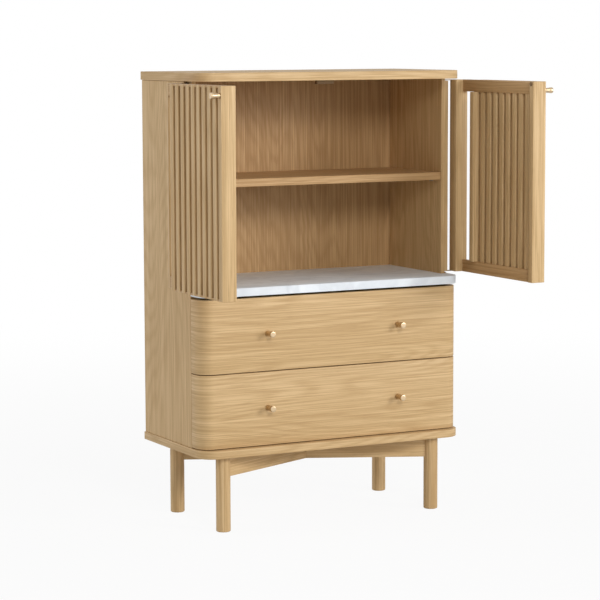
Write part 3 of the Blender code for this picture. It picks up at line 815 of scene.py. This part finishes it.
class CABINET_OT_knobs(bpy.types.Operator):
    """Brass knobs of the drawers and the doors"""

    bl_idname = "cabinet.knobs"
    bl_label = "Knobs"

    def execute(self, context):
        first = None
        for level in LEVELS:
            for side in SIDES:
                node = f"{level}_drawer_knob_{side}"
                name = f"{node}_turned"
                low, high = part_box(node)
                foot = Vector(((low.x + high.x) / 2, high.y, (low.z + high.z) / 2))
                if first is None:
                    radius = (high.x - low.x) / 2
                    knob = self.turned_knob(name, foot, Vector((0, -1, 0)), high.y - low.y, radius)
                    first = (knob, foot)
                else:
                    knob = copy_piece(first[0], name, foot - first[1])
                dress(knob, brass(), f"{level}_drawer", node)
        for side, sign in SIDE_SIGNS:
            node = f"{side}_door_knob"
            low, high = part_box(node)
            inner = inner_and_outer(low, high, sign)[0]
            foot = Vector((inner, (low.y + high.y) / 2, (low.z + high.z) / 2))
            radius = (high.z - low.z) / 2
            knob = self.turned_knob(f"{node}_turned", foot, Vector((sign, 0, 0)), high.x - low.x, radius)
            dress(knob, brass(), f"{side}_door", node)
        return {"FINISHED"}

    def turned_knob(self, name, foot, direction, length, radius):
        """Turns a knob from its profile: a short spool with a slight waist and a flat end."""
        neck = radius * NECK_SHARE
        radii = {"head": radius, "neck": neck, "foot": (radius + neck) / 2}
        knob = start_point(name, foot)
        here = Vector((0.0, 0.0))
        for part, share, along in KNOB_PROFILE:
            there = Vector((radii[part] * share, along * length))
            step = there - here
            line_on(Vector(UP) * step.x + direction * step.y)
            here = there
        bpy.ops.mesh.select_all(action="SELECT")
        spin_on(foot, direction, FULL_TURN, KNOB_FACETS)
        weld_points()
        face_outwards()
        return shade_round(knob)


class CABINET_OT_door_posts(bpy.types.Operator):
    """Hinge posts of the doors: quarter rounds with one flat to the slats"""

    bl_idname = "cabinet.door_posts"
    bl_label = "Door hinge posts"

    def execute(self, context):
        size = sizes()
        for side, sign in SIDE_SIGNS:
            node = f"{side}_door_hinge_post"
            low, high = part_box(node)
            base = low.z + size.leaf_show
            top = high.z - size.leaf_show
            inner, outer = inner_and_outer(low, high, sign)
            radius = high.y - low.y
            centre = Vector((outer - sign * radius, low.y, base))
            post = start_point(f"{node}_shaped", (inner, low.y, base))
            line_on((0, radius, 0))
            line_on((centre.x - inner, 0, 0))
            spin_on(centre, UP, sign * QUARTER_TURN, POST_SEGMENTS)
            weld_points()
            bpy.ops.mesh.edge_face_add()
            bpy.ops.mesh.extrude_region_move(TRANSFORM_OT_translate={"value": (0, 0, top - base)})
            face_outwards()
            ease_edges(post, size.edge_round)
            dress(post, oak("outer_oak", "upright"), f"{side}_door", node)
        return {"FINISHED"}


class CABINET_OT_door_stiles(bpy.types.Operator):
    """Leading stiles of the doors"""

    bl_idname = "cabinet.door_stiles"
    bl_label = "Door leading stiles"

    def execute(self, context):
        for side in SIDES:
            node = f"{side}_door_leading_stile"
            stile = start_box(f"{node}_board", *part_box(node))
            ease_edges(stile, sizes().edge_round)
            dress(stile, oak("outer_oak", "upright"), f"{side}_door", node)
        return {"FINISHED"}


class CABINET_OT_door_slats(bpy.types.Operator):
    """Slats and rails of the doors"""

    bl_idname = "cabinet.door_slats"
    bl_label = "Door slats and rails"

    def execute(self, context):
        for side, sign in SIDE_SIGNS:
            stile_low, stile_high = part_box(f"{side}_door_leading_stile")
            inside, face = inner_and_outer(stile_low, stile_high, sign)
            slats_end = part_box(f"{side}_door_hinge_post")[0].y - sizes().wide_gap
            self.add_rails(side, sign, inside, face, slats_end)
            self.add_slats(side, sign, face, stile_high.y, slats_end)
        return {"FINISHED"}

    def add_rails(self, side, sign, inside, face, slats_end):
        """A rail below and above, each with a lip that closes the slat gaps at its end."""
        size = sizes()
        node = f"{side}_door_slat_panel"
        low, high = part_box(node)
        back = inside + sign * size.rail_recess
        front = back + sign * size.rail_thickness
        lip = face - sign * size.lip_setback
        lip_end = slats_end - size.slat_gap / 2
        low_x, high_x = sorted((back, front))
        for level, end, inward in (("lower", low.z, 1), ("upper", high.z, -1)):
            base, top = sorted((end, end + inward * size.rail_height))
            rail = start_box(f"{side}_door_{level}_rail", (low_x, low.y, base), (high_x, high.y, top))
            step = end + inward * size.lip_height
            split_at(rail, (back, low.y, step), UP)
            split_at(rail, (back, lip_end, base), (0, 1, 0))

            def on_lip(centre):
                return near(centre.x, front) and (centre.z - step) * inward < 0 and centre.y < lip_end

            pull_faces(rail, on_lip, (lip - front, 0, 0))
            ease_edges(rail, size.edge_round / 2, RAIL_EDGE_SEGMENTS)
            # The rails take the inner oak, painted darker for the shade on the doors' inner side
            dress(rail, oak("inner_oak", "deep"), f"{side}_door", node)

    def add_slats(self, side, sign, face, slats_start, slats_end):
        """Like slats, with a deeper one at the rear, each behind its gap."""
        size = sizes()
        node = f"{side}_door_slat_panel"
        low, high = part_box(node)
        back = face - sign * size.slat_depth
        low_x, high_x = sorted((face, back))
        pitch = (slats_end - slats_start) / size.slat_count
        first = None
        for number in range(size.slat_count):
            name = f"{side}_door_slat_{number + 1}"
            rear = number == size.slat_count - 1
            if first is None or rear:
                start = slats_start + number * pitch
                slat = start_box(
                    name,
                    (low_x, start + size.slat_gap, low.z + size.leaf_show),
                    (high_x, start + pitch, high.z - size.leaf_show),
                )
                if rear:
                    self.deepen(slat, sign, back, low.z, high.z)
                ease_edges(slat, size.edge_round)
                first = first or slat
            else:
                slat = copy_piece(first, name, (0, number * pitch, 0))
            dress(slat, oak("outer_oak", "upright"), f"{side}_door", node)

    def deepen(self, slat, sign, back, base, top):
        """Pulls the rear slat's back out between the rails, so that the rails run on past it."""
        size = sizes()
        margin = size.rail_height + size.rail_clearance
        for level in (base + margin, top - margin):
            split_at(slat, (back, 0, level), UP)

        def behind_rails(centre):
            return near(centre.x, back) and base + margin < centre.z < top - margin

        pull_faces(slat, behind_rails, (-sign * (size.rear_depth - size.slat_depth), 0, 0))


# Inside boards take the inner oak, painted darker for the shade inside the cabinet
CARRIED_FINISHES = {
    "left_side_panel": ("outer_oak", "upright"),
    "right_side_panel": ("outer_oak", "upright"),
    "back_panel": ("inner_oak", "upright"),
    "shelf": ("inner_oak", "across"),
    "stone_deck": ("inner_oak", "across"),
    "brace_rail_left": ("outer_oak", "to_back_right"),
    "brace_rail_right": ("outer_oak", "to_back_left"),
}


class CABINET_OT_carried_nodes(bpy.types.Operator):
    """Finishes of the boards, runners, pins and hinges that keep their own shape"""

    bl_idname = "cabinet.carried_nodes"
    bl_label = "Boards, runners and hinges"

    def execute(self, context):
        for name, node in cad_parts.items():
            if node.hide_render:
                continue
            node.data.materials.clear()
            node.data.materials.append(self.finish_of(name))
        return {"FINISHED"}

    def finish_of(self, name):
        if name in CARRIED_FINISHES:
            return oak(*CARRIED_FINISHES[name])
        # Drawer boxes take the inner oak, painted darker for the shade inside
        if "_drawer_side" in name:
            return oak("inner_oak", "deep")
        if "_drawer_" in name:
            return oak("inner_oak", "across")
        # Hinges and catch take the metal painted dark to read as shade
        if "catch" in name or "hinge" in name:
            return shade_darkened_metal()
        return steel()


# Stage


def seen_straight(tree):
    """A mask of what the camera sees straight, in a mirror or through glass."""
    path = add_node(tree, "ShaderNodeLightPath")
    seen = math_node(tree, "MAXIMUM", path.outputs["Is Camera Ray"], path.outputs["Is Glossy Ray"])
    return math_node(tree, "MAXIMUM", seen, path.outputs["Is Transmission Ray"])


def mix_to_surface(tree, output, share, first, second):
    """Mixes two shaders and puts them out."""
    blend = add_node(tree, "ShaderNodeMixShader")
    for socket, source in zip(blend.inputs, (share, first.outputs[0], second.outputs[0])):
        tree.links.new(source, socket)
    tree.links.new(blend.outputs[0], add_node(tree, output).inputs["Surface"])


class CABINET_OT_stage(bpy.types.Operator):
    """A pale floor, soft light and the camera"""

    bl_idname = "cabinet.stage"
    bl_label = "Stage, light and camera"

    def execute(self, context):
        scene = context.scene
        stage = scene.cabinet_stage
        scene.view_settings.view_transform = "Standard"
        self.add_floor(stage)
        self.light_world(scene, stage)
        for name in LAMPS:
            self.add_lamp(scene, stage, name)
        self.add_camera(scene, stage)
        return {"FINISHED"}

    def add_floor(self, stage):
        deselect_all()
        bpy.ops.mesh.primitive_plane_add(size=FLOOR_SIZE, location=(0, 0, 0))
        floor = named(bpy.context.object, "studio_floor")
        material = bpy.data.materials.new("studio_floor")
        material.use_nodes = True
        tree = material.node_tree
        tree.nodes.clear()
        matt = add_node(tree, "ShaderNodeBsdfDiffuse")
        grey = stage.floor_grey
        matt.inputs["Color"].default_value = (grey, grey, grey, 1.0)
        glow = add_node(tree, "ShaderNodeEmission")
        place = add_node(tree, "ShaderNodeTexCoord")
        away = add_node(tree, "ShaderNodeVectorMath", operation="LENGTH")
        tree.links.new(place.outputs["Object"], away.inputs[0])
        white = ranged(tree, away.outputs["Value"], stage.floor_near, stage.floor_far, stage.floor_glow, 1.0)
        share = math_node(tree, "MULTIPLY", seen_straight(tree), white)
        mix_to_surface(tree, "ShaderNodeOutputMaterial", share, matt, glow)
        floor.data.materials.append(material)

    def light_world(self, scene, stage):
        world = bpy.data.worlds.new("studio_world")
        scene.world = world
        world.use_nodes = True
        tree = world.node_tree
        tree.nodes.clear()
        soft = add_node(tree, "ShaderNodeBackground")
        soft.inputs["Strength"].default_value = stage.world_level
        white = add_node(tree, "ShaderNodeBackground")
        for background in (soft, white):
            background.inputs["Color"].default_value = WHITE
        mix_to_surface(tree, "ShaderNodeOutputWorld", seen_straight(tree), soft, white)

    def add_lamp(self, scene, stage, name):
        place = Vector(getattr(stage, f"{name}_place"))
        data = bpy.data.lights.new(name, "AREA")
        data.shape = "DISK"
        data.size = getattr(stage, f"{name}_size")
        data.energy = getattr(stage, f"{name}_power")
        lamp = bpy.data.objects.new(name, data)
        scene.collection.objects.link(lamp)
        lamp.location = place
        aim = Vector(stage.lamp_target) - place
        lamp.rotation_euler = aim.to_track_quat("-Z", "Y").to_euler()

    def add_camera(self, scene, stage):
        data = bpy.data.cameras.new("photo_camera")
        camera = bpy.data.objects.new("photo_camera", data)
        scene.collection.objects.link(camera)
        scene.camera = camera
        data.sensor_width = SENSOR_WIDTH
        data.lens = stage.focal_pixels * SENSOR_WIDTH / IMAGE_WIDTH
        yaw, pitch, roll = stage.camera_yaw, stage.camera_pitch, stage.camera_roll
        ahead = Vector((
            math.sin(yaw) * math.cos(pitch), math.cos(yaw) * math.cos(pitch), -math.sin(pitch)
        ))
        right = Vector((math.cos(yaw), -math.sin(yaw), 0.0))
        up = right.cross(ahead)
        tilted_right = right * math.cos(roll) + up * math.sin(roll)
        tilted_up = up * math.cos(roll) - right * math.sin(roll)
        turn = Matrix((tilted_right, tilted_up, -ahead)).transposed()
        camera.location = stage.camera_place
        camera.rotation_euler = turn.to_euler()


OPERATORS = (
    CABINET_OT_panels,
    CABINET_OT_stone_shelf,
    CABINET_OT_legs,
    CABINET_OT_drawer_fronts,
    CABINET_OT_knobs,
    CABINET_OT_door_posts,
    CABINET_OT_door_stiles,
    CABINET_OT_door_slats,
    CABINET_OT_carried_nodes,
    CABINET_OT_stage,
)


class CABINET_PT_sidebar(bpy.types.Panel):
    """Buttons for the cabinet's pieces, with its sizes, colours and stage"""

    bl_idname = "CABINET_PT_sidebar"
    bl_label = "Cabinet"
    bl_space_type = "VIEW_3D"
    bl_region_type = "UI"
    bl_category = "Cabinet"

    def draw(self, context):
        layout = self.layout
        for operator in OPERATORS:
            layout.operator(operator.bl_idname)
        scene = context.scene
        for group in (scene.cabinet_sizes, scene.cabinet_colours, scene.cabinet_stage):
            box = layout.box()
            for name in group.__annotations__:
                box.prop(group, name)


CLASSES = (CabinetSizes, CabinetColours, CabinetStage, *OPERATORS, CABINET_PT_sidebar)


def register():
    for item in CLASSES:
        bpy.utils.register_class(item)
    bpy.types.Scene.cabinet_sizes = PointerProperty(type=CabinetSizes)
    bpy.types.Scene.cabinet_colours = PointerProperty(type=CabinetColours)
    bpy.types.Scene.cabinet_stage = PointerProperty(type=CabinetStage)


def unregister():
    del bpy.types.Scene.cabinet_stage
    del bpy.types.Scene.cabinet_colours
    del bpy.types.Scene.cabinet_sizes
    for item in reversed(CLASSES):
        bpy.utils.unregister_class(item)


def main():
    register()
    bpy.ops.cabinet.panels()
    bpy.ops.cabinet.stone_shelf()
    bpy.ops.cabinet.legs()
    bpy.ops.cabinet.drawer_fronts()
    bpy.ops.cabinet.knobs()
    bpy.ops.cabinet.door_posts()
    bpy.ops.cabinet.door_stiles()
    bpy.ops.cabinet.door_slats()
    bpy.ops.cabinet.carried_nodes()
    bpy.ops.cabinet.stage()


if __name__ == "__main__":
    main()
